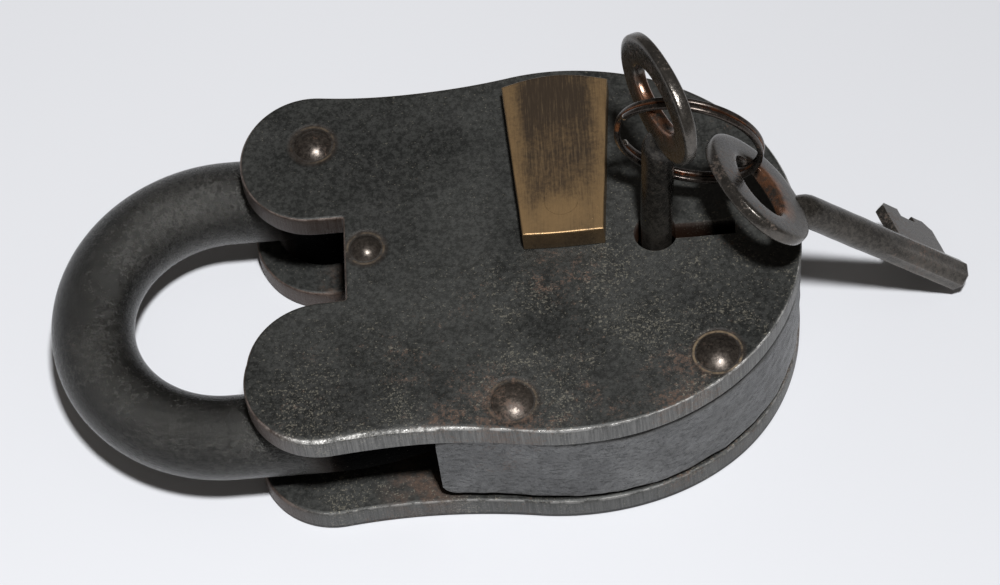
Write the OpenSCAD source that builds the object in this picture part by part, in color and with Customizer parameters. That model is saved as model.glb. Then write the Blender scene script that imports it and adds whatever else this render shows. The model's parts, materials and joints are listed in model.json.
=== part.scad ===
// Large hand-made iron padlock with a swinging brass keyhole cover,
// its two keys and their split ring. It lies on its back plate:
// z = 0 is the back face, the keyhole stands over the origin, the shackle points to -X.

/* [Case] */
// Overall thickness of the case over both plates
case_t = 37.4; // [36:0.2:42]
// Thickness of each case plate
plate_t = 6.4; // [5:0.1:7]
// Half the greatest width of the case
half_w = 48.3; // [47:0.1:53]
// Right-hand end of the case, measured from the keyhole
body_end = 32.6; // [32:0.5:40]
// Distance from the keyhole back to the shackle pivot
pivot_back = 76.4; // [74:0.2:92]
// Radius of the two round shackle lobes
lobe_r = 17; // [16:0.2:18]
// Radius of the shallow waist between lobe and body
waist_r = 148; // [120:5:200]
// How far the lobes stay inside the greatest width
lobe_in = 1.9; // [1:0.1:4]
// Width of the notch between the lobes
notch_w = 21.6; // [18:0.2:22]
// Sideways offset of the notch from the centre line
notch_y = 1.6; // [0:0.1:2]
// Distance from the shackle pivot to the notch's straight edge
notch_depth = 6.3; // [4:0.1:7]
// Thickness of the rim band between the plates
band_t = 2.5; // [2:0.1:3]
// How far the rim band sits inside the plate edge
band_inset = 0.6; // [0:0.1:1]
// Distance from the shackle pivot to both ends of the rim band
band_start = 24.4; // [23:0.1:28]

/* [Shackle] */
// Diameter of the shackle bar
bar_d = 19; // [16:0.5:20]
// Length of the straight leg between bow and pivot
leg_l = 21.6; // [18:0.2:26]
// Radius of the forged eye on the pivot
eye_r = 12.5; // [11:0.1:13]
// Diameter of the shackle rivet
pivot_d = 8; // [6:0.5:9]

/* [Rivets] */
// Diameter of the plate rivets
rivet_d = 5; // [4:0.2:5]
// Base diameter of the large rivet heads
head_d = 9.5; // [8:0.1:10]
// Base diameter of the small rivet heads
small_head_d = 7; // [6.5:0.1:8]
// Height of the domed heads
head_h = 1.7; // [1:0.1:2.4]
// Width of the tool mark left round each head
mark_w = 0.5; // [0.3:0.1:0.8]

/* [Keyhole cover] */
// Thickness of the brass cover
cover_t = 6; // [4:0.2:7]
// Width of the narrow end of the cover
cover_w1 = 18.3; // [17:0.1:20]
// Width of the wide end of the cover
cover_w2 = 24.6; // [22:0.1:26]
// Length of the cover
cover_l = 43.2; // [40:0.2:46]
// Distance of the cover's pivot from its narrow end
cover_tail = 8.8; // [8:0.1:10]
// Place of the cover's pivot along the case, behind the keyhole
cover_back = 20.4; // [20:0.1:24]
// Sideways place of the cover's pivot
cover_y = 8.3; // [7:0.1:10]

/* [Keys] */
// Diameter of the key shank
shank_d = 7.3; // [6:0.1:8]
// Distance from the middle of the bow to the hanging key's tip
key_l = 68.6; // [66:0.2:72]
// Distance from the middle of the front plate up the leaning key to its bow
bow_up = 48; // [47:0.1:50]
// Half width of the oval bow
bow_a = 16.2; // [15:0.1:17]
// Half height of the oval bow
bow_b = 13.1; // [12:0.1:14]
// Half width of the hole in the bow
eye_a = 9.4; // [9:0.1:10]
// Half height of the hole in the bow
eye_b = 5.4; // [5:0.1:6]
// Thickness of the bow
bow_t = 3.2; // [2.6:0.1:3.6]
// Reach of the bit from the key's middle line
bit_reach = 15.9; // [14:0.1:16]
// Thickness of the bit
bit_t = 2.6; // [2:0.1:3]
// Clearance of the standing key's bit below the front plate
bit_top_gap = 0.3; // [0.2:0.1:2]
// How much wider than the shank the round part of the keyhole is
keyhole_play = 2.2; // [2:0.1:3]
// How much longer than the bit's reach the keyhole slot is
slot_over = 1.9; // [1.2:0.1:3]
// How much wider than the bit's thickness the keyhole slot is
slot_play = 1; // [0.8:0.1:1.6]
// Lean of the key that stands in the lock, in degrees
key_lean = 7.4; // [5:0.1:7.8]
// Wire diameter of the split ring
wire_d = 1.4; // [1.2:0.1:1.6]
// Mean radius of the split ring
ring_r = 16; // [15.6:0.1:16.4]

/* [Lock work] */
// Height of the bolt above the inside of the back plate
bolt_z = 8; // [6:0.2:9]
// Thickness of the bolt
bolt_t = 5; // [4:0.2:5.4]
// Travel of the bolt
bolt_travel = 12; // [10:0.5:12]
// Diameter of the two guide posts
post_d = 4.5; // [4:0.1:5]
// Outside diameter of the collars on the posts
collar_d = 8; // [7:0.1:9]
// Thickness of the ward plate
ward_t = 2.4; // [2:0.1:2.6]

/* [Fits] */
// Radial clearance of the running fits
run_fit = 0.05; // [0.02:0.01:0.1]
// Radial clearance round the set rivets
set_fit = 0.02; // [0.01:0.01:0.04]
// Clearance between sliding flat faces
slide_gap = 0.2; // [0.1:0.05:0.3]

/* [Hidden] */
$fn = 96;
far = 400;
eps = 0.02;
inner_z = plate_t;
inner_top = case_t - plate_t;
mid_z = case_t / 2;
keyhole_y = 1.56;

// Case outline: the round end, the two shoulders, the waist and the lobes
end_flat = 2.4;
end_r = half_w - end_flat;
end_x = body_end - end_r;
shoulder_back = 7.7;
shoulder_x = end_x - shoulder_back;
shoulder_r = (pow(half_w, 2) + pow(shoulder_back, 2) - pow(end_r, 2)) / (2 * end_flat);
shoulder_y = half_w - shoulder_r;
lobe = [-pivot_back, half_w - lobe_in - lobe_r];
bow_r = lobe[1] + 2.2;
pivot_y = lobe[1] + 3.6;
pivot = [-pivot_back, pivot_y];
swell = [1.2, 2.4];
swell_r = lobe_r + 0.6;
notch_x = -pivot_back + notch_depth;
band_x = -pivot_back + band_start;

// Meeting point, on the far side, of circles r1 round a and r2 round b
function meet(a, r1, b, r2) =
    let (d = norm(b - a),
         u = (b - a) / d,
         s = (d * d + r1 * r1 - r2 * r2) / (2 * d),
         h = sqrt(r1 * r1 - s * s))
    a + s * u + h * [-u[1], u[0]];
// Point of the circle r round c in the direction of p
function toward(c, r, p) = c + r * (p - c) / norm(p - c);

shoulder = [shoulder_x, shoulder_y];
// The arcs meet with this small overlap, so that the outline is one closed shape
blend = 0.05;
waist = meet(lobe, lobe_r + waist_r - blend, shoulder, shoulder_r + waist_r - blend);
lobe_touch = toward(lobe, lobe_r, waist);
shoulder_touch = toward(shoulder, shoulder_r, waist);
end_touch = toward(shoulder, shoulder_r, [end_x, 0] + ([end_x, 0] - shoulder));

// Rivet places
notch_rivet_at = [notch_x + 5, notch_y + 2.1];
near_at = [[-34, 8.8 - half_w], [11.7, 17.1 - half_w]];
far_at = [[-21, half_w - 9.8], [8.5, half_w - 15]];
sleeve_d = 8.4;
tail_h = 1.6;
tail_grow = 1.3;

// Keyhole, sized from the key that goes through it
keyhole_d = shank_d + keyhole_play;
slot_l = bit_reach + slot_over;
slot_w = bit_t + slot_play;

// Keys: the standing key leans in its hole, the second one hangs from the ring.
// The standing key's length and the bits' length follow the room between the plates.
lean_az = 55.2;
key_base = [0, keyhole_y, inner_top + plate_t / 2];
tip_up = 2.9;
standing_l = bow_up + (key_base[2] - inner_z - tip_up) / cos(key_lean);
key_turn = 57.8;
bit_tip_gap = 3;
bit_room = (inner_top - inner_z - tip_up) / cos(key_lean) - bit_reach * tan(key_lean);
bit_l = bit_room - bit_tip_gap - bit_top_gap;
bit_notch = [4.4, 2.6];
bit_notch_at = 6.2;
bit_step = 0.9;
bit_taper = 3.2;
bow_at = key_base + bow_up * [sin(key_lean) * cos(lean_az), sin(key_lean) * sin(lean_az), cos(key_lean)];
second_at = bow_at + [19.7, -8, -26.2];
second_tilt = 41.2;
second_az = 188;
second_spin = 103;
ring_at = bow_at + [5.68, 0.03, -17];
ring_tilt = 85.2;
ring_az = 76.2;
ring_spin = 96;
ring_gap = 0.06;

// Lock work
bolt_z0 = inner_z + bolt_z;
bolt_z1 = bolt_z0 + bolt_t;
lean_v = tan(key_lean) * [cos(lean_az), sin(lean_az)];
// Middle line of the standing key at height z
function key_xy(z) = [key_base[0], key_base[1]] + (z - key_base[2]) * lean_v;
bit_mid = key_xy(bolt_z0 + bolt_t / 2);
bar_top = bit_mid[1] - bit_reach - 1;
bar_h = 9.5;
post_y = bar_top - bar_h / 2;
posts_at = [[-18, post_y], [1, post_y]];
bar_x = [-26, posts_at[1][0] + bolt_travel + post_d / 2 + 3];
tongue_h = 6;
tongue_y = bar_top - 2 - tongue_h / 2;
toe_r = pivot_y + bow_r;
toe_angle = acos((pivot_y - tongue_y) / toe_r);
tongue_tip = pivot[0] + (pivot_y - tongue_y + tongue_h / 2) * tan(toe_angle) + 1.5;
pocket_gap = 0.5;
lug_top = 6.5;
lug_w = 3.6;
talon = [-4.5, 7.2];
ward_z = bolt_z1 + 1.4;
ward_mid = key_xy(ward_z + ward_t / 2);
ward_r = bit_reach - bit_notch[1] + 0.5;
spring_t = 0.8;
spring_reach = 23;
socket_d = 13;
socket_bore = shank_d + 1.4;
socket_in = 2.4;
socket_h = tip_up + socket_in - 0.35;

// ---- Case shape of height h, its edge set back evenly by inset ----

module half_case(h, inset) {
    translate(lobe) cylinder(h = h, r = lobe_r - inset);
    difference() {
        linear_extrude(h)
            polygon([lobe, lobe_touch, shoulder_touch, [shoulder_touch[0], -1], [lobe[0], -1]]);
        translate([waist[0], waist[1], -1]) cylinder(h = h + 2, r = waist_r + inset, $fn = 360);
    }
    intersection() {
        translate(shoulder) cylinder(h = h, r = shoulder_r - inset);
        translate([shoulder_touch[0] - 6, -1, 0]) cube([end_touch[0] - shoulder_touch[0] + 6, far, h]);
    }
}

module case_body(h, inset = 0) {
    difference() {
        union() {
            half_case(h, inset);
            mirror([0, 1, 0]) half_case(h, inset);
            intersection() {
                translate([end_x, 0, 0]) cylinder(h = h, r = end_r + blend - inset);
                translate([shoulder[0], shoulder[1], 0]) cylinder(h = h, r = shoulder_r - inset);
                translate([shoulder[0], -shoulder[1], 0]) cylinder(h = h, r = shoulder_r - inset);
            }
        }
        translate([notch_x - far, notch_y - notch_w / 2, -1]) cube([far, notch_w, h + 2]);
    }
    translate([lobe[0] + swell[0], swell[1] - lobe[1], 0]) cylinder(h = h, r = swell_r - inset);
}

// ---- Fasteners ----

module dome(d, h) {
    ball_r = (pow(d / 2, 2) + h * h) / (2 * h);
    rotate_extrude() intersection() {
        translate([0, h - ball_r]) circle(ball_r);
        square([d / 2, h]);
    }
}

module tail(d) {
    cylinder(h = tail_h, r1 = d / 2 + tail_grow, r2 = d / 2);
}

module domed_rivet(d, head) {
    cylinder(h = case_t, d = d);
    tail(d);
    translate([0, 0, case_t]) dome(head, head_h);
}

module flush_rivet(d) {
    cylinder(h = case_t, d = d);
    tail(d);
    translate([0, 0, case_t]) mirror([0, 0, 1]) tail(d);
}

module rivet_hole(d) {
    r = d / 2 + set_fit;
    translate([0, 0, -eps]) cylinder(h = case_t + 2 * eps, r = r);
    translate([0, 0, -eps]) cylinder(h = tail_h + eps, r1 = r + tail_grow, r2 = r);
}

module flush_hole(d) {
    rivet_hole(d);
    translate([0, 0, case_t]) mirror([0, 0, 1]) rivet_hole(d);
}

module tool_mark(head) {
    translate([0, 0, case_t - 0.3]) difference() {
        cylinder(h = 1, d = head + 2 * mark_w + 0.4);
        translate([0, 0, -1]) cylinder(h = 3, d = head + 0.4);
    }
}

module all_rivet_holes() {
    translate(pivot) rivet_hole(pivot_d);
    translate(notch_rivet_at) rivet_hole(rivet_d);
    for (p = near_at) translate(p) rivet_hole(rivet_d);
    for (p = far_at) translate(p) flush_hole(rivet_d);
}

// ---- Case ----

module cover_rivet_cut() {
    translate([-cover_back, cover_y, inner_top - eps])
        cylinder(h = plate_t + 2 * eps, r = rivet_d / 2 + set_fit);
}

module keyhole_cut() {
    translate([0, keyhole_y, inner_top - 1]) {
        cylinder(h = plate_t + 2, d = keyhole_d);
        translate([0, -slot_w / 2, 0]) cube([slot_l, slot_w, plate_t + 2]);
    }
}

module front_plate() {
    color([0.16, 0.16, 0.17]) difference() {
        translate([0, 0, inner_top]) case_body(plate_t);
        all_rivet_holes();
        cover_rivet_cut();
        keyhole_cut();
        for (p = posts_at) translate([p[0], p[1], inner_top - eps])
            cylinder(h = plate_t / 2 + eps, r = post_d / 2 + set_fit);
        translate(pivot) tool_mark(small_head_d);
        translate(notch_rivet_at) tool_mark(small_head_d);
        for (p = near_at) translate(p) tool_mark(head_d);
    }
}

module back_plate() {
    color([0.15, 0.15, 0.16]) difference() {
        case_body(plate_t);
        all_rivet_holes();
        for (p = posts_at) translate(p) rivet_hole(post_d);
    }
}

module rim_band() {
    h = inner_top - inner_z;
    color([0.35, 0.35, 0.36]) translate([0, 0, inner_z]) intersection() {
        difference() {
            case_body(h, band_inset);
            translate([0, 0, -1]) case_body(h + 2, band_inset + band_t);
        }
        translate([band_x, -far / 2, -1]) cube([far, far, h + 2]);
    }
}

// ---- Shackle ----

module bar_turn(r, angle) {
    rotate_extrude(angle = angle) translate([r, 0]) circle(d = bar_d);
}

module shackle_toe() {
    translate([pivot[0], pivot[1], mid_z]) rotate([0, 0, -90]) bar_turn(toe_r, toe_angle);
}

module bolt_pocket() {
    pocket_h = tongue_h + 2 * pocket_gap;
    tip = tongue_tip - bolt_travel - 1.6;
    translate([tip, tongue_y - pocket_h / 2, bolt_z0 - pocket_gap])
        cube([bolt_travel + 14, pocket_h, bolt_t + 2 * pocket_gap]);
}

module shackle() {
    color([0.13, 0.13, 0.14]) difference() {
        union() {
            translate([pivot[0] - leg_l, 0, mid_z]) rotate([0, 0, 90]) bar_turn(bow_r, 180);
            for (side = [-1, 1]) translate([pivot[0] - leg_l, side * bow_r, mid_z])
                rotate([0, 90, 0]) cylinder(h = leg_l, d = bar_d);
            translate([pivot[0], pivot[1], inner_z + slide_gap])
                cylinder(h = inner_top - inner_z - 2 * slide_gap, r = eye_r);
            shackle_toe();
        }
        translate(pivot) cylinder(h = case_t, r = pivot_d / 2 + run_fit);
        bolt_pocket();
    }
}

module shackle_rivet() {
    color([0.25, 0.2, 0.17]) translate(pivot) domed_rivet(pivot_d, small_head_d + 1.6);
}

module notch_rivet() {
    color([0.25, 0.2, 0.17]) translate(notch_rivet_at) domed_rivet(rivet_d, small_head_d);
}

module notch_sleeve() {
    color([0.2, 0.19, 0.18]) translate([notch_rivet_at[0], notch_rivet_at[1], inner_z]) difference() {
        cylinder(h = inner_top - inner_z, d = sleeve_d);
        translate([0, 0, -1]) cylinder(h = case_t, r = rivet_d / 2 + set_fit);
    }
}

module near_rivets() {
    color([0.28, 0.22, 0.18]) for (p = near_at) translate(p) domed_rivet(rivet_d, head_d);
}

module far_rivets() {
    color([0.2, 0.2, 0.2]) for (p = far_at) translate(p) flush_rivet(rivet_d);
}

// ---- Keyhole cover, swung aside ----

module cover_outline() {
    top = cover_l - cover_tail;
    slack = 2.2;
    edge_r = (pow(cover_w2 / 2, 2) + slack * slack) / (2 * slack);
    intersection() {
        polygon([[-cover_w1 / 2, -cover_tail], [cover_w1 / 2, -cover_tail],
                 [cover_w2 / 2, top], [-cover_w2 / 2, top]]);
        translate([0, top - edge_r]) circle(edge_r);
        translate([0, 2 * cover_w1 - cover_tail]) circle(2 * cover_w1);
    }
}

module keyhole_cover() {
    color([0.42, 0.3, 0.13]) translate([-cover_back, cover_y, case_t]) difference() {
        linear_extrude(cover_t) cover_outline();
        translate([0, 0, -1]) cylinder(h = cover_t + 2, r = rivet_d / 2 + run_fit);
        translate([0, 0, cover_t - tail_h]) cylinder(h = tail_h + eps,
            r1 = rivet_d / 2 + run_fit, r2 = rivet_d / 2 + tail_grow + run_fit);
    }
}

module cover_rivet() {
    color([0.4, 0.36, 0.28]) translate([-cover_back, cover_y, inner_top]) {
        cylinder(h = plate_t + cover_t, d = rivet_d);
        translate([0, 0, plate_t + cover_t]) mirror([0, 0, 1]) tail(rivet_d);
        mirror([0, 0, 1]) dome(head_d, head_h);
    }
}

// ---- Lock work between the plates ----

module bolt_slot(p) {
    for (x = [0, bolt_travel]) translate([p[0] + x, p[1], bolt_z0 - 1])
        cylinder(h = bolt_t + 2, r = post_d / 2 + 0.3);
    translate([p[0], p[1] - post_d / 2 - 0.3, bolt_z0 - 1]) cube([bolt_travel, post_d + 0.6, bolt_t + 2]);
}

module bolt() {
    color([0.5, 0.48, 0.44]) difference() {
        translate([0, 0, bolt_z0]) {
            translate([bar_x[0], bar_top - bar_h, 0]) cube([bar_x[1] - bar_x[0], bar_h, bolt_t]);
            translate([tongue_tip, tongue_y - tongue_h / 2, 0])
                cube([bar_x[0] - tongue_tip + 1, tongue_h, bolt_t]);
            translate([talon[0] - lug_w, bar_top - 1, 0]) cube([lug_w, lug_top + 1, bolt_t]);
            translate([talon[1], bar_top - 1, 0]) cube([lug_w, lug_top + 1, bolt_t]);
        }
        for (p = posts_at) bolt_slot(p);
    }
}

module bolt_posts() {
    color([0.45, 0.44, 0.42]) for (p = posts_at) translate(p) {
        cylinder(h = inner_top + plate_t / 2, d = post_d);
        tail(post_d);
        translate([0, 0, inner_z]) cylinder(h = bolt_z - slide_gap, d = collar_d);
    }
}

module collar(z0, z1) {
    translate([0, 0, z0]) difference() {
        cylinder(h = z1 - z0, d = collar_d);
        translate([0, 0, -1]) cylinder(h = z1 - z0 + 2, r = post_d / 2 + set_fit);
    }
}

module post_collars() {
    color([0.4, 0.38, 0.34]) for (p = posts_at) translate(p) {
        collar(bolt_z1 + slide_gap, ward_z);
        collar(ward_z + ward_t, inner_top);
    }
}

module ward_plate() {
    margin = 4.5;
    color([0.45, 0.36, 0.2]) translate([0, 0, ward_z]) difference() {
        translate([posts_at[0][0] - margin, post_y - margin])
            cube([posts_at[1][0] - posts_at[0][0] + 2 * margin, 2 * margin + 5.5, ward_t]);
        translate([ward_mid[0], ward_mid[1], -1]) cylinder(h = ward_t + 2, r = ward_r);
        for (p = posts_at) translate([p[0], p[1], -1]) cylinder(h = ward_t + 2, r = post_d / 2 + set_fit);
    }
}

// One straight leaf from point a to point b
module leaf(a, b) {
    d = b - a;
    translate(a) rotate([0, 0, atan2(d[1], d[0])])
        translate([0, -spring_t / 2]) square([norm(d), spring_t]);
}

module bolt_spring() {
    eye_in = rivet_d / 2 + 0.1;
    at = near_at[0];
    mid_r = eye_in + spring_t / 2;
    press_y = bar_top - bar_h - slide_gap - spring_t / 2;
    rest_y = band_inset + band_t + 1.6 - half_w;
    color([0.3, 0.32, 0.36]) translate([0, 0, bolt_z0]) linear_extrude(bolt_t) difference() {
        union() {
            translate(at) circle(eye_in + spring_t);
            leaf(at + [0, mid_r], [at[0] + spring_reach, press_y]);
            leaf(at - [0, mid_r], [at[0] + spring_reach, rest_y]);
        }
        translate(at) circle(eye_in);
    }
}

module key_socket() {
    foot = key_xy(inner_z + socket_h);
    color([0.42, 0.4, 0.37]) translate([foot[0], foot[1], inner_z]) difference() {
        cylinder(h = socket_h, d = socket_d);
        translate([0, 0, socket_h - socket_in - 1]) cylinder(h = socket_in + 2, d = socket_bore);
    }
}

// ---- Keys: origin in the middle of the bow, shank along -Z, bit towards -X ----

module oval(a, b) {
    end_r = b * 0.8;
    reach = a - end_r;
    side_r = (reach * reach + b * b - end_r * end_r) / (2 * (b - end_r));
    join_x = reach * side_r / (side_r - end_r);
    for (side = [-1, 1]) translate([side * reach, 0]) circle(end_r);
    intersection() {
        translate([0, b - side_r]) circle(side_r);
        translate([0, side_r - b]) circle(side_r);
        square([2 * join_x, 2 * b], center = true);
    }
}

module bit_outline(tip) {
    edge = -bit_reach;
    far_end = bit_tip_gap - tip;
    near_end = far_end + bit_l;
    notch_lo = far_end + bit_notch_at;
    notch_hi = notch_lo + bit_notch[0];
    polygon([[0, near_end], [edge + 1.2, near_end], [edge, near_end - 1.2], [edge, notch_hi],
             [edge + bit_notch[1], notch_hi], [edge + bit_notch[1], notch_lo], [edge + bit_step, notch_lo],
             [edge + bit_step, far_end + 2.5], [edge + bit_taper, far_end], [0, far_end]]);
}

// A key whose tip is this far from the middle of its bow
module key(tip) {
    shoulder_z = -bow_b - 1.5;
    rotate([90, 0, 0]) translate([0, 0, -bow_t / 2]) linear_extrude(bow_t) difference() {
        oval(bow_a, bow_b);
        oval(eye_a, eye_b);
    }
    translate([0, 0, -tip]) {
        translate([0, 0, 1]) cylinder(h = tip + shoulder_z - 1, d = shank_d);
        cylinder(h = 1, d1 = shank_d - 2, d2 = shank_d);
    }
    translate([0, 0, shoulder_z]) cylinder(h = 4.2, d1 = shank_d, d2 = bow_t);
    rotate([90, 0, 0]) translate([0, 0, -bit_t / 2]) linear_extrude(bit_t) bit_outline(tip);
}

module standing_key() {
    color([0.16, 0.14, 0.14]) translate(key_base) rotate([0, 0, lean_az]) rotate([0, key_lean, 0])
        rotate([0, 0, key_turn]) translate([0, 0, bow_up]) key(standing_l);
}

module second_key() {
    color([0.17, 0.15, 0.15]) translate(second_at) rotate([0, 0, second_az]) rotate([0, second_tilt, 0])
        rotate([0, 0, second_spin]) key(key_l);
}

module wire_turn(start, sweep, z) {
    translate([0, 0, z]) rotate([0, 0, start]) rotate_extrude(angle = sweep)
        translate([ring_r, 0]) circle(d = wire_d, $fn = 48);
}

// The wire crosses over from one turn to the other once, and both free ends stop short of that place
module ring_wire() {
    half_pitch = (wire_d + ring_gap) / 2;
    cross = 14;
    short = 24;
    sweep = 360 - cross - short;
    a = [ring_r * cos(cross), -ring_r * sin(cross), -half_pitch];
    b = [ring_r * cos(cross), ring_r * sin(cross), half_pitch];
    d = b - a;
    wire_turn(short, sweep, -half_pitch);
    wire_turn(cross, sweep, half_pitch);
    translate(a) rotate([0, acos(d[2] / norm(d)), atan2(d[1], d[0])]) translate([0, 0, -0.3])
        cylinder(h = norm(d) + 0.6, d = wire_d - 0.15, $fn = 48);
}

module split_ring() {
    color([0.3, 0.24, 0.2]) translate(ring_at) rotate([0, 0, ring_az]) rotate([0, ring_tilt, 0])
        rotate([0, 0, ring_spin]) ring_wire();
}

front_plate();
back_plate();
rim_band();
shackle();
shackle_rivet();
notch_rivet();
notch_sleeve();
near_rivets();
far_rivets();
keyhole_cover();
cover_rivet();
bolt();
bolt_posts();
post_collars();
bolt_spring();
ward_plate();
key_socket();
standing_key();
second_key();
split_ring();
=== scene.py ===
# %% [markdown]
# # Rusty iron padlock
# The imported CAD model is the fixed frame. This notebook puts the looks on it: forged and filed
# iron plates, a pebbled shackle, a patinated brass cover, two keys on a split ring, and the
# table and light they lie in. Blender works in metres here, with +Z up out of the front plate.
# Nothing of the CAD is moved: a piece gets either a material, or a new surface in its place.

# %% Load the frame
import math
import json
import bpy
import bmesh
import numpy as np
from mathutils import Matrix, Vector
from mathutils.geometry import tessellate_polygon


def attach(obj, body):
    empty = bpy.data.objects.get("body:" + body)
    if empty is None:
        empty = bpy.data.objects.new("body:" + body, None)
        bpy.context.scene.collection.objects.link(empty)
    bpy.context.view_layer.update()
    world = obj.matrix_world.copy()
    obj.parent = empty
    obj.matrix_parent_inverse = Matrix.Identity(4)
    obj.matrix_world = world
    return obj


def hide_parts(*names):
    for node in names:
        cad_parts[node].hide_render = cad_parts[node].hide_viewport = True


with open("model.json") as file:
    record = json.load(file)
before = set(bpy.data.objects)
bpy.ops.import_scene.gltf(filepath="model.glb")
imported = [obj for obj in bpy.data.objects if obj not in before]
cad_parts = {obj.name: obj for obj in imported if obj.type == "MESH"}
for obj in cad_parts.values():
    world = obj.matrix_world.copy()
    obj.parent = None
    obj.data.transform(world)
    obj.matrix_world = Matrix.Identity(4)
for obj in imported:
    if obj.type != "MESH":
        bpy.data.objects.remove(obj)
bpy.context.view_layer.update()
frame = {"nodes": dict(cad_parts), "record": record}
scene = bpy.context.scene
MM = 0.001
print("nodes:", sorted(frame["nodes"]))

# %% [markdown]
# ## Sizes
# The same named sizes as the CAD part, in millimetres. A file could measure the CAD meshes
# instead, but named sizes read better and say what each number is on the lock. The visible
# surfaces are rebuilt from them with worn edges, so each must keep its CAD piece's place and size.

# %% Sizes in millimetres
CASE_T, PLATE_T = 37.4, 6.4
HALF_W, BODY_END, PIVOT_BACK = 48.3, 32.6, 76.4
LOBE_R, WAIST_R = 17.0, 148.0
END_R = HALF_W - 2.4
END_X = BODY_END - END_R
SHOULDER_X = END_X - 7.7
SHOULDER_R = (HALF_W ** 2 + 7.7 ** 2 - END_R ** 2) / (2 * 2.4)
SHOULDER_Y = HALF_W - SHOULDER_R
LOBE_Y = HALF_W - 1.9 - LOBE_R
NOTCH_X, NOTCH_LO, NOTCH_HI = -70.1, -9.2, 12.4
PIVOT_Y = LOBE_Y + 3.6
RIVETS = {"pivot": (-76.4, PIVOT_Y, 8.6), "notch": (-65.1, 3.7, 7.0),
          "near_left": (-34.0, 8.8 - HALF_W, 9.5), "near_right": (11.7, 17.1 - HALF_W, 9.5)}
FAR_RIVETS = ((-21.0, HALF_W - 9.8), (8.5, HALF_W - 15.0))
RIVET_D, PIVOT_D, POST_D = 5.0, 8.0, 4.5
TAIL_GROW, TAIL_ROOM = 1.3, 0.04
COVER_AT, COVER_T = (-20.4, 8.3), 6.0
KEYHOLE_Y, KEYHOLE_D, SLOT_L, SLOT_W = 1.56, 9.5, 17.8, 3.6
BIT_REACH, BIT_T, BIT_TIP_GAP, BIT_TOP_GAP = 15.9, 2.6, 3.0, 0.3
SHANK_R, BOW_T, EYE_LIFT = 3.65, 3.2, 0.3
LEAN, LEAN_AZ, TIP_UP, BOW_UP = 7.4, 55.2, 2.9, 48.0
BOLT_Z, BOLT_T = 8.0, 5.0
KEY_DROP = (CASE_T - PLATE_T / 2) - (PLATE_T + BOLT_Z + BOLT_T / 2)
KEY_SHIFT = math.tan(math.radians(LEAN)) * math.sin(math.radians(LEAN_AZ)) * KEY_DROP
BAR_GAP, BAR_H = 1.0, 9.5
POST_Y = KEYHOLE_Y - KEY_SHIFT - BIT_REACH - BAR_GAP - BAR_H / 2
POSTS = ((-18.0, POST_Y), (1.0, POST_Y))
print("shoulder radius %.2f mm, lobe centre y %.2f mm" % (SHOULDER_R, LOBE_Y))

# %% [markdown]
# ## Shader building blocks
# A material could be wired by hand in the shader editor, but the same few effects are needed in
# nine irons. So small helpers add nodes and links, and each shared effect is a node group with
# named inputs and outputs. All read object coordinates, so they stay on the metal as it moves.

# %% Node helpers
def add(tree, kind, **values):
    """Adds one node. Keywords set its sockets by name, _ for a space; props sets its properties."""
    node = tree.nodes.new(kind)
    for name, value in values.pop("props", {}).items():
        setattr(node, name, value)
    for name, value in values.items():
        if isinstance(value, bpy.types.NodeSocket):
            tree.links.new(value, node.inputs[name.replace("_", " ")])
        else:
            node.inputs[name.replace("_", " ")].default_value = value
    return node


def math_node(tree, op, a, b=0.5, clamp=False):
    """One Math node of the two values or sockets a and b."""
    node = tree.nodes.new("ShaderNodeMath")
    node.operation, node.use_clamp = op, clamp
    for i, value in enumerate((a, b)):
        if isinstance(value, bpy.types.NodeSocket):
            tree.links.new(value, node.inputs[i])
        else:
            node.inputs[i].default_value = value
    return node.outputs[0]


def times(tree, a, b):
    """a times b."""
    return math_node(tree, "MULTIPLY", a, b)


def plus(tree, a, b, clamp=False):
    """a plus b, kept to 0..1 if clamp is set."""
    return math_node(tree, "ADD", a, b, clamp)


def minus(tree, a, b):
    """a minus b."""
    return math_node(tree, "SUBTRACT", a, b)


def mark(tree, name):
    """The value of the point attribute of this name, 0 where a mesh has none."""
    node = tree.nodes.new("ShaderNodeAttribute")
    node.attribute_name = name
    return node.outputs["Fac"]


def ramp(tree, value, lo, hi):
    """Smooth 0 to 1 step as value goes from lo to hi."""
    node = tree.nodes.new("ShaderNodeMapRange")
    node.interpolation_type = "SMOOTHSTEP"
    tree.links.new(value, node.inputs["Value"])
    node.inputs["From Min"].default_value, node.inputs["From Max"].default_value = lo, hi
    return node.outputs["Result"]


def mix(tree, fac, a, b):
    """Mixes colour a towards colour b by fac."""
    node = tree.nodes.new("ShaderNodeMix")
    node.data_type = "RGBA"
    for name, value in ((0, fac), (6, a), (7, b)):
        if isinstance(value, bpy.types.NodeSocket):
            tree.links.new(value, node.inputs[name])
        elif name == 0:
            node.inputs[0].default_value = value
        else:
            node.inputs[name].default_value = (*value, 1.0)
    return node.outputs[2]


def noise(tree, vector, scale, detail=4.0, rough=0.55, stretch=None, offset=0.0):
    """Noise value in 0..1. Scale is in features per metre; stretch scales the axes apart."""
    if stretch or offset:
        mapping = tree.nodes.new("ShaderNodeMapping")
        tree.links.new(vector, mapping.inputs["Vector"])
        mapping.inputs["Scale"].default_value = stretch or (1, 1, 1)
        mapping.inputs["Location"].default_value = (offset, offset * 0.7, -offset)
        vector = mapping.outputs["Vector"]
    node = add(tree, "ShaderNodeTexNoise", Vector=vector, Scale=scale, Detail=detail, Roughness=rough)
    return node.outputs["Fac"]


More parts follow.
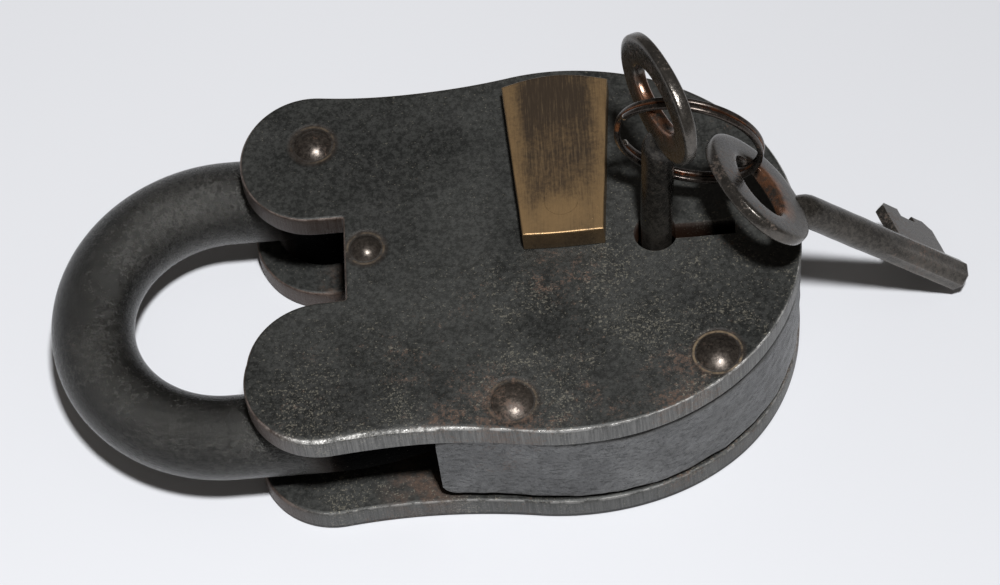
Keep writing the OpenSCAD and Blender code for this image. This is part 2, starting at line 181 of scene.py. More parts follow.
def new_group(name, inputs, outputs):
    """An empty node group with typed, named sockets; returns the tree and its two end nodes."""
    tree = bpy.data.node_groups.new(name, "ShaderNodeTree")
    for label, kind, value in inputs:
        sock = tree.interface.new_socket(label, in_out="INPUT", socket_type="NodeSocket" + kind)
        if value is not None:
            sock.default_value = value
    for label, kind in outputs:
        tree.interface.new_socket(label, in_out="OUTPUT", socket_type="NodeSocket" + kind)
    return tree, tree.nodes.new("NodeGroupInput"), tree.nodes.new("NodeGroupOutput")


# %% Shared effects: rust, specks, hammering
def make_rust():
    """Rust: blotches of fine brown freckles. Amount raises how much of the surface they cover."""
    tree, i, o = new_group("Rust freckles",
                           [("Vector", "Vector", None), ("Amount", "Float", 0.5), ("Scale", "Float", 1.0)],
                           [("Mask", "Float"), ("Color", "Color"), ("Height", "Float")])
    vec = add(tree, "ShaderNodeVectorMath", props={"operation": "SCALE"}, Vector=i.outputs["Vector"],
              Scale=i.outputs["Scale"]).outputs[0]
    blotch = noise(tree, vec, 38, 3, 0.6)
    fine = noise(tree, vec, 1300, 5, 0.75, offset=3.1)
    mid = noise(tree, vec, 420, 4, 0.7, offset=7.7)
    freckle = plus(tree, times(tree, fine, 0.45), times(tree, mid, 0.3))
    level = plus(tree, times(tree, blotch, 0.55), freckle)
    cut = minus(tree, 0.86, times(tree, i.outputs["Amount"], 0.32))
    over = minus(tree, level, cut)
    mask = ramp(tree, over, -0.01, 0.09)
    tint = mix(tree, ramp(tree, fine, 0.35, 0.7), (0.040, 0.026, 0.019), (0.115, 0.066, 0.042))
    tree.links.new(mask, o.inputs["Mask"])
    tree.links.new(tint, o.inputs["Color"])
    tree.links.new(times(tree, mask, fine), o.inputs["Height"])
    return tree


def make_specks():
    """Pale tan specks: short fibres and dots a few tenths of a millimetre long, in loose clusters."""
    tree, i, o = new_group("Pale specks", [("Vector", "Vector", None), ("Amount", "Float", 0.5)],
                           [("Mask", "Float")])
    vec = i.outputs["Vector"]
    fibre = noise(tree, vec, 2700, 2, 0.5, stretch=(1.0, 0.62, 1.0), offset=2.2)
    cross = noise(tree, vec, 2100, 2, 0.5, stretch=(0.7, 1.0, 1.0), offset=8.2)
    patch = times(tree, ramp(tree, noise(tree, vec, 55, 4, 0.65), 0.30, 0.70), i.outputs["Amount"])
    cut = minus(tree, 0.71, times(tree, patch, 0.14))
    best = math_node(tree, "MAXIMUM", fibre, cross)
    mask = ramp(tree, minus(tree, best, cut), 0.0, 0.09)
    tree.links.new(mask, o.inputs["Mask"])
    return tree


def make_hammer():
    """Hammered and pebbled relief: soft facets, a finer orange peel, and grain, as one height."""
    tree, i, o = new_group("Hammered relief", [("Vector", "Vector", None), ("Facets", "Float", 0.5),
                           ("Peel", "Float", 0.5), ("Grain", "Float", 0.5)], [("Height", "Float")])
    vec = i.outputs["Vector"]
    big = add(tree, "ShaderNodeTexVoronoi", props={"feature": "SMOOTH_F1"}, Vector=vec, Scale=150.0,
              Smoothness=0.6).outputs["Distance"]
    peel = noise(tree, vec, 620, 3, 0.55, offset=1.3)
    grain = noise(tree, vec, 2600, 4, 0.7, offset=5.1)
    small = plus(tree, times(tree, peel, i.outputs["Peel"]), times(tree, grain, i.outputs["Grain"]))
    total = plus(tree, times(tree, big, i.outputs["Facets"]), small)
    tree.links.new(total, o.inputs["Height"])
    return tree


RUST, SPECKS, HAMMER = make_rust(), make_specks(), make_hammer()
print("node groups:", [g.name for g in (RUST, SPECKS, HAMMER)])


def group(tree, which, **values):
    """Uses one shared node group inside a material."""
    node = tree.nodes.new("ShaderNodeGroup")
    node.node_tree = which
    for name, value in values.items():
        if isinstance(value, bpy.types.NodeSocket):
            tree.links.new(value, node.inputs[name])
        else:
            node.inputs[name].default_value = value
    return node.outputs


# %% [markdown]
# ## Iron
# The lock is bare forged iron, black from handling, with brown freckles and pale dust in its
# pores. A painted image could show that, but only at one size. One recipe of noise makes every
# iron here instead: a dark base with cloudy tone, rust freckles, pale specks, bright metal where
# the `edge` attribute is high, and hammered relief in the normal.

# %% The recipe for every iron
def iron(name, dark, light, rust=0.5, specks=0.5, facets=0.3, peel=0.3, grain=0.3, rough=(0.42, 0.6),
         relief=0.00012, edge=(0.30, 0.295, 0.285), metal=0.55, extra=None, zone=None):
    """Dark worn iron. dark and light are the two base tones; relief is the bump height in metres.
    zone, if given, makes a 0 to 1 value that scales the rust and specks over the surface. extra,
    if given, adds the marks of one kind of piece before the rust, specks and wear are laid on."""
    mat = bpy.data.materials.new(name)
    mat.use_nodes = True
    tree = mat.node_tree
    tree.nodes.clear()
    out = tree.nodes.new("ShaderNodeOutputMaterial")
    obj = tree.nodes.new("ShaderNodeTexCoord").outputs["Object"]
    cloud = ramp(tree, noise(tree, obj, 34, 5, 0.6, offset=2.0), 0.35, 0.68)
    fine = noise(tree, obj, 900, 6, 0.8, offset=9.0)
    tone = plus(tree, times(tree, cloud, 0.45), times(tree, ramp(tree, fine, 0.40, 0.61), 0.55))
    color = mix(tree, tone, dark, light)
    if zone:
        here = zone(tree, obj)
        rust, specks = (times(tree, here, v) for v in (rust, specks))
    stain = group(tree, RUST, Vector=obj, Amount=rust, Scale=1.0)
    dots = group(tree, SPECKS, Vector=obj, Amount=specks)
    height = group(tree, HAMMER, Vector=obj, Facets=facets, Peel=peel, Grain=grain)["Height"]
    patchy = ramp(tree, noise(tree, obj, 260, 4, 0.7, offset=4.0), 0.30, 0.62)
    worn = times(tree, mark(tree, "edge"), plus(tree, 0.5, times(tree, patchy, 0.5)))
    rust_mask, rust_color = stain["Mask"], stain["Color"]
    roughness = plus(tree, rough[0], times(tree, tone, rough[1] - rough[0]))
    if extra:
        color, rust_mask, rust_color, height, roughness, worn = extra(
            tree, obj, color, rust_mask, rust_color, height, roughness, worn)
    color = mix(tree, times(tree, rust_mask, 0.8), color, rust_color)
    color = mix(tree, times(tree, dots["Mask"], 0.6), color, (0.225, 0.208, 0.165))
    color = mix(tree, worn, color, edge)
    roughness = minus(tree, roughness, times(tree, worn, 0.16))
    bump = add(tree, "ShaderNodeBump", Height=height, Strength=1.0, Distance=relief)
    shine = times(tree, metal, minus(tree, 1.0, rust_mask))
    shine = plus(tree, shine, times(tree, worn, 0.45), clamp=True)
    roughness = plus(tree, roughness, times(tree, rust_mask, 0.25))
    # Near-black painted shade (hole walls, band seams, the shackle's legs in the case) counts as metal,
    # whose reflection takes its colour, so no grey sheen lies on it.
    shine = math_node(tree, "MAXIMUM", shine, ramp(tree, roughness, 0.95, 1.25))
    bsdf = add(tree, "ShaderNodeBsdfPrincipled", Base_Color=color, Metallic=shine,
               Roughness=math_node(tree, "MINIMUM", roughness, 1.0), Normal=bump.outputs["Normal"])
    tree.links.new(bsdf.outputs[0], out.inputs["Surface"])
    return mat


# %% Marks on the plates
def near_edge(tree, obj):
    """1 along the case's near side and round end, where handling has rubbed the edges bright and a painted
    highlight brightens them further. Also returns the split coordinates, which the plate marks go on to use."""
    xyz = add(tree, "ShaderNodeSeparateXYZ", Vector=obj)
    across = ramp(tree, xyz.outputs["Y"], -0.022, -0.036)
    along = ramp(tree, xyz.outputs["X"], -0.090, -0.078)
    right = ramp(tree, xyz.outputs["X"], 0.004, 0.020)
    return math_node(tree, "MAXIMUM", times(tree, across, along), right), xyz


def plate_marks_and_painted_light(tree, obj, color, rust_mask, rust_color, height, roughness, worn):
    """Plate marks: a worn ring round each rivet head, filed sides, bright near edges that are partly worn
    and partly a painted highlight, painted shadow along the back plate's lowest edge, painted shade on the
    hole walls, and damp brown patches on the back plate's two lobes."""
    near = None
    for x, y, d in RIVETS.values():
        away = add(tree, "ShaderNodeVectorMath", props={"operation": "SUBTRACT"}, Vector=obj)
        away.inputs[1].default_value = (x * MM, y * MM, 0)
        flat = add(tree, "ShaderNodeVectorMath", props={"operation": "MULTIPLY"}, Vector=away.outputs[0])
        flat.inputs[1].default_value = (1, 1, 0)
        length = add(tree, "ShaderNodeVectorMath", props={"operation": "LENGTH"}, Vector=flat.outputs[0])
        off = math_node(tree, "ABSOLUTE", minus(tree, length.outputs["Value"], (d / 2 + 0.62) * MM))
        near = off if near is None else math_node(tree, "MINIMUM", near, off)
    mask, xyz = near_edge(tree, obj)
    top = math_node(tree, "GREATER_THAN", xyz.outputs["Z"], 0.035)
    broken = ramp(tree, noise(tree, obj, 330, 3, 0.6, offset=3.3), 0.36, 0.60)
    ring = times(tree, times(tree, ramp(tree, near, 0.00036, 0.00012), top), broken)
    halo = times(tree, ramp(tree, near, 0.0014, 0.0002), top)
    color = mix(tree, times(tree, halo, 0.45), color, (0.045, 0.030, 0.022))
    paler = times(tree, ramp(tree, xyz.outputs["X"], 0.0, 0.006), 0.5)
    dust = times(tree, ring, plus(tree, 0.28, paler))
    color = mix(tree, dust, color, (0.27, 0.20, 0.125))
    height = minus(tree, height, times(tree, halo, 1.2))
    side = mark(tree, "side")
    streak = noise(tree, obj, 2600, 4, 0.7, stretch=(1.0, 1.0, 0.035), offset=6.0)
    band = noise(tree, obj, 420, 3, 0.6, stretch=(1.0, 1.0, 0.12), offset=1.0)
    cut = plus(tree, times(tree, ramp(tree, streak, 0.34, 0.68), 0.20), times(tree, band, 0.10))
    wall = math_node(tree, "MINIMUM", side, 1.0)
    filed = times(tree, wall, plus(tree, cut, 0.04))
    # Painted highlight: the pale edge colour is strongest on the near side and the front plate. It is partly
    # wear and partly light on the rounded edges.
    high = ramp(tree, xyz.outputs["Z"], 0.008, 0.020)
    front = plus(tree, 0.50, times(tree, high, 0.50))
    near_wear_and_highlight = plus(tree, 0.22, times(tree, mask, 0.78))
    rubbed = times(tree, front, near_wear_and_highlight)
    line = ramp(tree, worn, 0.50, 0.98)
    worn = math_node(tree, "MAXIMUM", line, filed)
    worn = times(tree, worn, rubbed)
    # Painted shadow: the back plate darkens to near-black over its lowest 1.7 mm and loses its bright edge
    # there.
    foot_shadow = ramp(tree, xyz.outputs["Z"], 0.0017, 0.0008)
    worn = times(tree, worn, minus(tree, 1.0, foot_shadow))
    # Painted shade: the walls of the keyhole and tail holes go near-black, rough and free of rust and wear.
    hole_wall_shade = ramp(tree, side, 1.3, 1.9)
    worn = times(tree, worn, minus(tree, 1.0, hole_wall_shade))
    black = math_node(tree, "MAXIMUM", times(tree, foot_shadow, 0.85), hole_wall_shade)
    color = mix(tree, black, color, (0.003, 0.003, 0.003))
    rust_mask = times(tree, rust_mask, minus(tree, 1.0, hole_wall_shade))
    roughness = plus(tree, roughness, hole_wall_shade)
    brown_edge = times(tree, line, minus(tree, 1.0, mask))
    color = mix(tree, times(tree, brown_edge, 0.8), color, (0.130, 0.068, 0.042))
    far_wall = times(tree, wall, minus(tree, 1.0, mask))
    color = mix(tree, times(tree, far_wall, 0.6), color, (0.070, 0.036, 0.023))
    cloud = ramp(tree, noise(tree, obj, 160, 5, 0.7, offset=12.0), 0.36, 0.58)
    for x, y, reach in ((-56, -40, 13), (-72, 14, 9)):
        away = add(tree, "ShaderNodeVectorMath", props={"operation": "DISTANCE"}, Vector=obj)
        away.inputs[1].default_value = (x * MM, y * MM, PLATE_T * MM)
        damp = ramp(tree, away.outputs["Value"], reach * MM, 0.3 * reach * MM)
        rust_mask = math_node(tree, "MAXIMUM", rust_mask, times(tree, damp, cloud))
    height = plus(tree, height, times(tree, filed, 2.2))
    return color, rust_mask, rust_color, height, roughness, worn


# %% Marks on the shackle, the band and the keys
def painted_mouth_shade(tree, obj, color, rust_mask, rust_color, height, roughness, worn):
    """Painted shade: the shackle's legs are painted near-black where they go into the case, the far one
    sooner, in place of the shadow there.
    """
    xyz = add(tree, "ShaderNodeSeparateXYZ", Vector=obj)
    sooner = times(tree, ramp(tree, xyz.outputs["Y"], -0.005, 0.015), 0.010)
    # Painted shade: near-black colour, rust and roughness over the legs from the case mouth inwards.
    leg_shade = ramp(tree, plus(tree, xyz.outputs["X"], sooner), -0.083, -0.072)
    color = mix(tree, leg_shade, color, (0.002, 0.002, 0.002))
    rust_color = mix(tree, leg_shade, rust_color, (0.002, 0.002, 0.002))
    rust_mask = math_node(tree, "MAXIMUM", rust_mask, leg_shade)
    roughness = plus(tree, roughness, leg_shade)
    return color, rust_mask, rust_color, height, roughness, worn


def scratches_and_seam_shade(tree, obj, color, rust_mask, rust_color, height, roughness, worn):
    """Band marks: short dark strokes along the band, soft clouds, and near-black painted shade in the seams
    and on the inner face.
    """
    stroke = noise(tree, obj, 1500, 4, 0.7, stretch=(0.4, 0.4, 1.0), offset=15.0)
    cloud = noise(tree, obj, 120, 4, 0.6, offset=21.0)
    dark = times(tree, ramp(tree, stroke, 0.53, 0.63), 0.55)
    color = mix(tree, dark, color, (0.030, 0.031, 0.031))
    soft = times(tree, ramp(tree, cloud, 0.62, 0.38), 0.4)
    color = mix(tree, soft, color, (0.05, 0.05, 0.05))
    # Painted shade: near-black and rough where side is set, on the band's two edges and its inner face.
    seam_shade = mark(tree, "side")
    color = mix(tree, seam_shade, color, (0.003, 0.003, 0.003))
    roughness = plus(tree, roughness, seam_shade)
    height = minus(tree, height, times(tree, dark, 0.8))
    return color, rust_mask, rust_color, height, roughness, worn


def copper_tone(tree, obj, color, rust_mask, rust_color, height, roughness, worn):
    """Coppery rust where the side attribute is high: inside the bows and between the ring's turns."""
    broken = ramp(tree, noise(tree, obj, 240, 4, 0.65, offset=17.0), 0.34, 0.56)
    mask = times(tree, mark(tree, "side"), broken)
    color = mix(tree, times(tree, mask, 0.85), color, (0.40, 0.145, 0.050))
    return color, rust_mask, rust_color, height, roughness, worn


def worn_zone(tree, obj):
    """1 over the plates' near side and round end, 0.35 far from them, where the iron is smoother."""
    xyz = add(tree, "ShaderNodeSeparateXYZ", Vector=obj)
    lean = minus(tree, times(tree, xyz.outputs["X"], 0.45), xyz.outputs["Y"])
    return plus(tree, 0.35, times(tree, ramp(tree, lean, -0.030, 0.006), 0.65))


# %% The six irons
# The plates' pale edge colour is partly worn metal and partly a painted highlight.
PLATE = iron("plate_iron", (0.0135, 0.0142, 0.0132), (0.060, 0.061, 0.057), rust=0.51, specks=1.1,
             facets=0.12, peel=0.35, grain=0.5, rough=(0.40, 0.55), edge=(0.50, 0.49, 0.47), metal=0.4,
             extra=plate_marks_and_painted_light, zone=worn_zone)
BAND = iron("band_iron", (0.075, 0.076, 0.077), (0.215, 0.216, 0.214), rust=0.24, specks=0.1,
            facets=0.4, peel=0.7, grain=0.5, rough=(0.34, 0.5), relief=0.00030, metal=0.6, extra=scratches_and_seam_shade)
SHACKLE = iron("shackle_iron", (0.034, 0.034, 0.032), (0.098, 0.096, 0.090), rust=0.26, specks=0.15,
               facets=0.05, peel=0.9, grain=1.1, rough=(0.20, 0.32), relief=0.00026, metal=0.9,
               extra=painted_mouth_shade)
RIVET = iron("rivet_iron", (0.042, 0.035, 0.030), (0.140, 0.118, 0.100), rust=0.45, specks=0.0,
             facets=0.7, peel=0.16, grain=0.06, rough=(0.27, 0.38), relief=0.00030, metal=0.75)
KEY = iron("key_iron", (0.015, 0.0135, 0.012), (0.090, 0.081, 0.070), rust=0.44, specks=0.35,
           facets=0.1, peel=0.25, grain=0.3, rough=(0.20, 0.34), edge=(0.24, 0.22, 0.20), metal=0.7,
           extra=copper_tone)
RING = iron("ring_steel", (0.022, 0.018, 0.016), (0.085, 0.070, 0.060), rust=0.42, specks=0.0,
            facets=0.0, peel=0.2, grain=0.4, rough=(0.20, 0.34), relief=0.00006, edge=(0.42, 0.38, 0.34),
            metal=0.85, extra=copper_tone)
print("irons:", [m.name for m in (PLATE, BAND, SHACKLE, RIVET, KEY, RING)])

# %% [markdown]
# ## Brass and the metals inside
# The cover is brass gone brown in the air, and thumbs have rubbed it bright at its low end, its
# sides and its edges. Scaling how bare it is by the place on the cover gives that. The lock work
# is plain filed steel, which the iron recipe makes with pale tones and little rust.


# %% Brass and plain lock-work metals
def brass():
    """Brown patina brushed along the cover; warm bare brass towards its low end and edges."""
    mat = bpy.data.materials.new("cover_brass")
    mat.use_nodes = True
    tree = mat.node_tree
    tree.nodes.clear()
    out = tree.nodes.new("ShaderNodeOutputMaterial")
    obj = tree.nodes.new("ShaderNodeTexCoord").outputs["Object"]
    brush = noise(tree, obj, 2600, 4, 0.7, stretch=(1.0, 0.05, 0.3))
    grime = noise(tree, obj, 1100, 5, 0.75, offset=30.0)
    cloud = noise(tree, obj, 90, 4, 0.62, stretch=(1.0, 0.7, 1.0), offset=1.7)
    xyz = add(tree, "ShaderNodeSeparateXYZ", Vector=obj)
    low = ramp(tree, xyz.outputs["Y"], 0.024, -0.002)
    off_line = math_node(tree, "ABSOLUTE", minus(tree, xyz.outputs["X"], COVER_AT[0] * MM))
    flank = ramp(tree, off_line, 0.0055, 0.0108)
    to_spot = add(tree, "ShaderNodeVectorMath", props={"operation": "DISTANCE"}, Vector=obj)
    to_spot.inputs[1].default_value = ((COVER_AT[0] + 0.5) * MM, (COVER_AT[1] - 3.5) * MM,
                                       (CASE_T + COVER_T) * MM)
    spot = ramp(tree, to_spot.outputs["Value"], 0.0075, 0.0010)
    bare = plus(tree, times(tree, cloud, 0.60), times(tree, flank, 0.30))
    bare = plus(tree, times(tree, low, 0.30), bare)
    bare = plus(tree, bare, times(tree, spot, 0.26))
    scuffed = plus(tree, times(tree, brush, 0.45), times(tree, grime, 0.45))
    bare = ramp(tree, plus(tree, bare, scuffed), 0.70, 1.24)
    rim = ramp(tree, mark(tree, "edge"), 0.4, 0.95)
    bare = plus(tree, bare, times(tree, rim, 0.8), clamp=True)
    color = mix(tree, bare, (0.070, 0.050, 0.034), (0.44, 0.285, 0.140))
    color = mix(tree, times(tree, ramp(tree, brush, 0.5, 0.7), 0.35), color, (0.25, 0.18, 0.105))
    # Painted shade: the cover's walls and the wall of its hole are darkened.
    shade = times(tree, mark(tree, "side"), 0.62)
    color = mix(tree, shade, color, (0.042, 0.033, 0.023))
    height = plus(tree, times(tree, brush, 0.8), cloud)
    bump = add(tree, "ShaderNodeBump", Height=height, Strength=1.0, Distance=0.00010)
    roughness = minus(tree, 0.52, times(tree, bare, 0.14))
    bsdf = add(tree, "ShaderNodeBsdfPrincipled", Base_Color=color, Metallic=0.8, Roughness=roughness,
               Normal=bump.outputs["Normal"])
    tree.links.new(bsdf.outputs[0], out.inputs["Surface"])
    return mat


COVER = brass()
STEEL = iron("work_steel", (0.16, 0.155, 0.15), (0.30, 0.29, 0.28), rust=0.2, specks=0.0, metal=0.9)
SPRING = iron("spring_steel", (0.06, 0.07, 0.09), (0.12, 0.13, 0.16), rust=0.1, specks=0.0, metal=0.9)
WARD = iron("work_brass", (0.22, 0.15, 0.06), (0.42, 0.30, 0.12), rust=0.1, specks=0.0, metal=0.9)
BY_SLOT = {"plate_iron": PLATE, "band_iron": BAND, "shackle_iron": SHACKLE, "rivet_iron": RIVET,
           "cover_brass": COVER, "work_steel": STEEL, "spring_steel": SPRING, "work_brass": WARD,
           "key_iron": KEY, "ring_steel": RING}
SLOT_OF = {s["node"]: s["material_slot"] for s in frame["record"]["subparts"]}
for name, obj in frame["nodes"].items():
    obj.data.materials.clear()
    obj.data.materials.append(BY_SLOT[SLOT_OF[name]])
print("materials:", len(BY_SLOT))

# %% [markdown]
# ## Surface helpers
# Modifiers such as Bevel could round the CAD pieces, but every edge would be alike, and these
# were filed by hand. So each new piece is a closed numpy surface: rings of points joined by
# quads, with flat ends filled by triangles. The point attribute `edge` marks worn edges for the
# materials above, and `side` marks walls, hole walls and inner faces.

# %% Mesh helpers
def build(name, verts, faces, slot, edge=None, side=None, smooth_deg=32.0):
    """Makes a mesh object from point and face arrays in millimetres, smooth below smooth_deg. The
    faces of each closed shell are turned to point outwards."""
    mesh = bpy.data.meshes.new(name)
    mesh.from_pydata((np.asarray(verts) * MM).tolist(), [], faces)
    shell = bmesh.new()
    shell.from_mesh(mesh)
    bmesh.ops.recalc_face_normals(shell, faces=shell.faces)
    shell.to_mesh(mesh)
    shell.free()
    for label, values in (("edge", edge), ("side", side)):
        if values is not None:
            layer = mesh.attributes.new(label, "FLOAT", "POINT")
            layer.data.foreach_set("value", np.asarray(values, dtype=np.float32))
    mesh.materials.append(BY_SLOT[slot])
    mesh.validate()
    mesh.shade_smooth()
    mesh.set_sharp_from_angle(angle=math.radians(smooth_deg))
    obj = bpy.data.objects.new(name, mesh)
    scene.collection.objects.link(obj)
    print("%s: %d points, %d faces" % (name, len(mesh.vertices), len(mesh.polygons)))
    return obj


def ring_quads(rows, cols, start=0, closed_rows=False):
    """Quads between rows of cols points, each row a closed ring: vertex = start + row*cols + col."""
    r = np.arange(rows if closed_rows else rows - 1)[:, None]
    c = np.arange(cols)[None, :]
    r2, c2 = (r + 1) % rows, (c + 1) % cols
    quad = np.stack([r * cols + c, r * cols + c2, r2 * cols + c2, r2 * cols + c], axis=-1)
    return (quad.reshape(-1, 4) + start).tolist()


def fill(loops, verts, flip=False):
    """Triangles that fill the first index loop, leaving the other loops as holes."""
    flat = [i for loop in loops for i in loop]
    points = [[Vector((verts[i][0], verts[i][1], 0.0)) for i in loop] for loop in loops]
    tris = [[flat[k] for k in tri] for tri in tessellate_polygon(points)]
    assert len(tris) > len(flat) - 3, "a hole crosses the outline"
    out = []
    for a, b, c in tris:
        ax, ay = verts[a][:2]
        area2 = (verts[b][0] - ax) * (verts[c][1] - ay) - (verts[c][0] - ax) * (verts[b][1] - ay)
        out.append([a, b, c] if (area2 > 0) != flip else [a, c, b])
    return out


def wobble(s, seed, amount):
    """Smooth hand-made unevenness: amount times a sum of five sines of the phase s in 0..1."""
    rng = np.random.default_rng(seed)
    k = rng.integers(2, 16, 5)
    phase = rng.uniform(0, 2 * np.pi, 5)
    return amount * np.sin(2 * np.pi * np.outer(s, k) + phase).sum(axis=1) / 3


# %% [markdown]
# ## The two plates
# On the real lock two thick iron plates of one outline are riveted over a band. The outline is a
# chain of circle arcs with a notch cut into it, so it is worked out from the arcs' centres. A slab
# then carries it from one face to the other, and its edge radius wanders as a file leaves it.


# %% The case outline
def arc(cx, cy, r, a0, a1, n, out=1.0):
    """n points of a circle arc from a0 to a1 degrees, with outward normals times out."""
    a = np.radians(np.linspace(a0, a1, n, endpoint=False))
    d = np.stack([np.cos(a), np.sin(a)], axis=1)
    return np.array([cx, cy]) + r * d, d * out


def outline():
    """The plate outline, counter-clockwise from the round end: end arc, shoulder, waist and lobe,
    the notch with its two small inner corners, then the near lobe and the mirrored side."""
    lobe, shoulder = np.array([-PIVOT_BACK, LOBE_Y]), np.array([SHOULDER_X, SHOULDER_Y])
    d = np.linalg.norm(shoulder - lobe)
    r1, r2 = LOBE_R + WAIST_R, SHOULDER_R + WAIST_R
    u = (shoulder - lobe) / d
    s = (d * d + r1 * r1 - r2 * r2) / (2 * d)
    waist = lobe + s * u + math.sqrt(r1 * r1 - s * s) * np.array([-u[1], u[0]])
    ang = lambda v: math.degrees(math.atan2(v[1], v[0]))
    a_end = ang(np.array([END_X, 0]) - shoulder)
    a_sh, a_lobe = ang(waist - shoulder), ang(waist - lobe)
    rho, swell_r = 0.3, LOBE_R + 0.6
    swell_x, swell_y = -PIVOT_BACK + 1.2, 2.4 - LOBE_Y
    parts = [arc(END_X, 0, END_R, 0, a_end, 60),
             arc(*shoulder, SHOULDER_R, a_end, a_sh, 60),
             arc(*waist, WAIST_R, a_sh + 180, a_lobe + 180, 50, -1.0),
             arc(*lobe, LOBE_R, a_lobe, 270, 70),
             arc(NOTCH_X - rho, NOTCH_HI - rho, rho, 90, 0, 6, -1.0),
             arc(NOTCH_X - rho, NOTCH_LO + rho, rho, 0, -90, 6, -1.0),
             arc(swell_x, swell_y, swell_r, 94, 170.6, 36),
             arc(lobe[0], -lobe[1], LOBE_R, 161.9, 360 - a_lobe, 40),
             arc(waist[0], -waist[1], WAIST_R, 180 - a_lobe, 180 - a_sh, 50, -1.0),
             arc(shoulder[0], -shoulder[1], SHOULDER_R, -a_sh, -a_end, 60),
             arc(END_X, 0, END_R, -a_end, 0, 60)]
    points = np.concatenate([p for p, _ in parts])
    normals = np.concatenate([n for _, n in parts])
    return points, normals


OUT_P, OUT_N = outline()
print("outline: %d points, %.1f by %.1f mm" % (len(OUT_P), np.ptp(OUT_P[:, 0]), np.ptp(OUT_P[:, 1])))


# %% Slabs with worn round edges
def loop_normals(loop):
    """Unit normals pointing outwards from a counter-clockwise loop of points."""
    t = np.roll(loop, -1, axis=0) - np.roll(loop, 1, axis=0)
    nrm = np.stack([t[:, 1], -t[:, 0]], axis=1)
    return nrm / np.linalg.norm(nrm, axis=1, keepdims=True)


def slab(points, normals, z0, z1, seed, radius=0.8, uneven=0.22, waver=0.10, inner=3.0, spread=1.0,
         draft=False, holes=()):
    """A flat piece: row k is points - inset_k * normals at height z_k, so the edge is a worn
    quarter round whose radius and setback vary along the loop. spread widens the round across the
    top, and draft leans the round end in. Each hole is a loop, the flare and depth of its worn
    mouth, and how bright that mouth is. Returns points, faces, edge and side; side is 2 on the
    walls of the holes."""
    n = len(points)
    phase = np.linspace(0, 1, n, endpoint=False)
    r = radius + wobble(phase, seed, uneven)
    skin = 0.8 * waver + wobble(phase, seed + 1, waver)
    rows, edge, side = [], [], []

    def row(inset, z, e, sd):
        flat = points - normals * np.reshape(inset, (-1, 1))
        rows.append(np.column_stack([flat, np.broadcast_to(z, n)]))
        edge.append(np.full(n, e))
        side.append(np.full(n, sd))

    row(inner, z1, 0.0, 0)
    row(skin + r * spread + 0.1, z1, 0.0, 0)
    turn = np.radians([90, 68, 45, 22, 0])
    for t, e in zip(turn, (0.10, 0.45, 1.0, 0.85, 0.55)):
        row(skin + r * spread * (1 - np.cos(t)), z1 - r * (1 - np.sin(t)), e, 0.0 if t > 1 else 1.0)
    row(skin * 0.6, (z0 + z1) / 2 + 0.15 * (z1 - z0), 0.5, 1)
    row(skin * 0.8, (z0 + z1) / 2 - 0.15 * (z1 - z0), 0.45, 1)
    for t, e in zip(turn[::-1], (0.5, 0.7, 0.8, 0.6, 0.3)):
        row(skin + 0.8 * r * (1 - np.cos(t)), z0 + 0.8 * r * (1 - np.sin(t)), e, 0.0 if t > 1 else 1.0)
    row(inner, z0, 0.0, 0)
    verts, edge, side = np.concatenate(rows), np.concatenate(edge), np.concatenate(side)
    if draft:
        verts[:, 0] -= end_draft(verts[:, 0], verts[:, 2])
    faces = [f[::-1] for f in ring_quads(len(rows), n)]
    top_loops, low_loops = [list(range(n))], [list(range(len(verts) - n, len(verts)))]
    for loop, flare, depth, mark in holes:
        m = len(loop)
        at = len(verts)
        heights = (z1, z1, z1 - depth, z0 + 0.2, z0)
        grow = (flare + 0.1 + 0.6 * mark, flare, 0, 0, 0)
        out = loop_normals(loop)
        ring = [np.column_stack([loop + out * g, np.full(m, z)]) for g, z in zip(grow, heights)]
        verts = np.concatenate([verts] + ring)
        edge = np.concatenate([edge, np.repeat(np.array([0.0, 0.7, 0.5, 0.1, 0.0]) * mark, m)])
        side = np.concatenate([side, np.repeat([0.0, 0.0, 1.6, 2.0, 2.0], m)])
        faces += ring_quads(5, m, at)
        top_loops.append(list(range(at, at + m)))
        low_loops.append(list(range(at + 4 * m, at + 5 * m)))
    faces += fill(top_loops, verts) + fill(low_loops, verts, flip=True)
    return verts, faces, edge, side


def circle_loop(x, y, d, n=40):
    """A counter-clockwise circle of n points."""
    a = np.linspace(0, 2 * np.pi, n, endpoint=False)
    return np.stack([x + d / 2 * np.cos(a), y + d / 2 * np.sin(a)], axis=1)


def polyline_loop(corners, step):
    """A closed loop through the corners with points about step apart on each straight side."""
    corners = np.asarray(corners, dtype=float)
    ends = np.roll(corners, -1, axis=0)
    parts = []
    for a, b in zip(corners, ends):
        count = max(2, int(np.linalg.norm(b - a) / step))
        parts.append(a + (b - a) * np.linspace(0, 1, count, endpoint=False)[:, None])
    return np.concatenate(parts)


def keyhole_loop():
    """The keyhole: a round hole with a slot towards +X, counter-clockwise, its sides a little wavy."""
    r, half, end = KEYHOLE_D / 2, SLOT_W / 2, SLOT_L
    a0 = math.asin(half / r)
    a = np.linspace(a0, 2 * np.pi - a0, 44)
    round_part = np.stack([r * np.cos(a), KEYHOLE_Y + r * np.sin(a)], axis=1)
    x = np.linspace(r * math.cos(a0), end, 9)[1:]
    low = np.stack([x, KEYHOLE_Y - half + wobble(x / 40, 5, 0.06)], axis=1)
    high = np.stack([x[::-1], KEYHOLE_Y + half + wobble(x[::-1] / 40, 6, 0.06)], axis=1)
    return np.concatenate([round_part, low, high])


def dress(obj, body, node):
    """Ties a finished piece to its CAD body and hides the CAD node it takes the place of."""
    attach(obj, body)
    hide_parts(node)
    return obj


